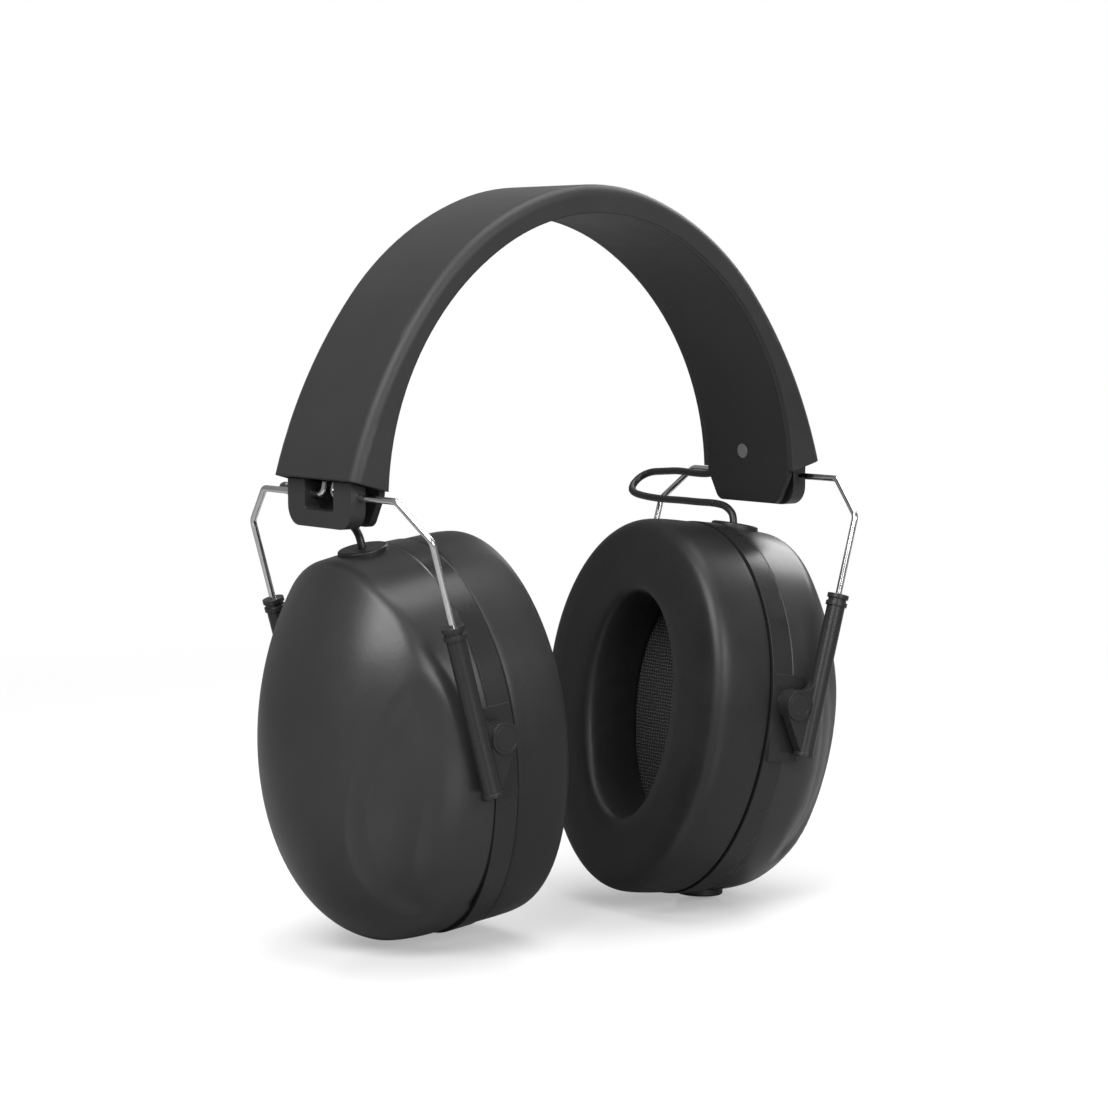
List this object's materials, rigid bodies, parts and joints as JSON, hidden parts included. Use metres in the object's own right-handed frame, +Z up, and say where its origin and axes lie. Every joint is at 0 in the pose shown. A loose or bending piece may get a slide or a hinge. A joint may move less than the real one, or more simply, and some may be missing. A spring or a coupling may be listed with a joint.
{
  "type": "headband hearing protection earmuffs",
  "caption": "Headband earmuffs: sprung padded band, wire yokes with sliders, deep sound-blocking cups with ear cushions and a link lead.",
  "frame": {"origin": "middle of the headband's inner face at the crown", "axes": "+Z up, +X to the wearer's left, -Y to the wearer's front"},
  "size_m": [0.1836, 0.0996, 0.2062],
  "materials": {
    "band_cover": "satin soft-touch black",
    "band_liner": "satin soft-touch black",
    "side_marker": "matt mid grey",
    "spring_steel": "spring steel strip",
    "lead_sheath": "satin black sheath",
    "bracket_plastic": "fine matt black",
    "rivet_steel": "plated",
    "yoke_steel": "bright spring wire",
    "slider_plastic": "moulded satin to gloss black",
    "ring_plastic": "satin charcoal",
    "shell_plastic": "satin charcoal",
    "pin_plastic": "satin black",
    "cushion_cover": "smooth black leatherette",
    "retainer_plastic": "matt dark grey",
    "ear_mesh": "fine black knit",
    "damping_foam": "open-cell charcoal foam",
    "baffle_plastic": "matt dark grey",
    "screw_steel": "zinc plated",
    "driver_metal": "plain metal",
    "grommet_rubber": "satin black rubber"
  },
  "bodies": {
    "headband": {"headband_cover": "band_cover", "headband_liner": "band_liner", "side_markers": "side_marker", "spring_strip": "spring_steel", "band_lead": "lead_sheath", "bracket_left": "bracket_plastic", "bracket_right": "bracket_plastic", "rivets_left": "rivet_steel", "rivets_right": "rivet_steel", "link_lead_left": "lead_sheath", "link_lead_right": "lead_sheath"},
    "yoke_left": {"yoke_wire_left": "yoke_steel"},
    "sliders_left": {"slider_front_left": "slider_plastic", "slider_rear_left": "slider_plastic"},
    "cup_left": {"cup_shell_left": "shell_plastic", "cup_ring_left": "ring_plastic", "pivot_pins_left": "pin_plastic", "cushion_left": "cushion_cover", "cushion_retainer_left": "retainer_plastic", "ear_cloth_left": "ear_mesh", "ear_foam_left": "damping_foam", "baffle_left": "baffle_plastic", "baffle_screws_left": "screw_steel", "sounder_left": "driver_metal", "shell_lining_left": "damping_foam", "top_grommet_left": "grommet_rubber", "inlet_gland": "grommet_rubber"},
    "yoke_right": {"yoke_wire_right": "yoke_steel"},
    "sliders_right": {"slider_front_right": "slider_plastic", "slider_rear_right": "slider_plastic"},
    "cup_right": {"cup_shell_right": "shell_plastic", "cup_ring_right": "ring_plastic", "pivot_pins_right": "pin_plastic", "cushion_right": "cushion_cover", "cushion_retainer_right": "retainer_plastic", "ear_cloth_right": "ear_mesh", "ear_foam_right": "damping_foam", "baffle_right": "baffle_plastic", "baffle_screws_right": "screw_steel", "sounder_right": "driver_metal", "shell_lining_right": "damping_foam", "top_grommet_right": "grommet_rubber"}
  },
  "joints": [
    {"name": "yoke_swing_left", "type": "hinge", "parent": "headband", "child": "yoke_left", "pos_m": [0.0762, 0, -0.075], "axis": [0, -1, 0], "range_deg": [-2, 8], "deforming": ["link_lead_left"]},
    {"name": "slide_left", "type": "slide", "parent": "yoke_left", "child": "sliders_left", "axis": [-0.2723, 0, -0.9622], "range_m": [0, 0.02], "deforming": ["link_lead_left"]},
    {"name": "cup_swivel_left", "type": "hinge", "parent": "sliders_left", "child": "cup_left", "pos_m": [0.0509, 0, -0.1371], "axis": [0, -1, 0], "range_deg": [-6, 8], "deforming": ["link_lead_left"]},
    {"name": "yoke_swing_right", "type": "hinge", "parent": "headband", "child": "yoke_right", "pos_m": [-0.0762, 0, -0.075], "axis": [0, 1, 0], "range_deg": [-2, 8], "deforming": ["link_lead_right"]},
    {"name": "slide_right", "type": "slide", "parent": "yoke_right", "child": "sliders_right", "axis": [0.2723, 0, -0.9622], "range_m": [0, 0.02], "deforming": ["link_lead_right"]},
    {"name": "cup_swivel_right", "type": "hinge", "parent": "sliders_right", "child": "cup_right", "pos_m": [-0.0509, 0, -0.1371], "axis": [0, 1, 0], "range_deg": [-6, 8], "deforming": ["link_lead_right"]}
  ]
}
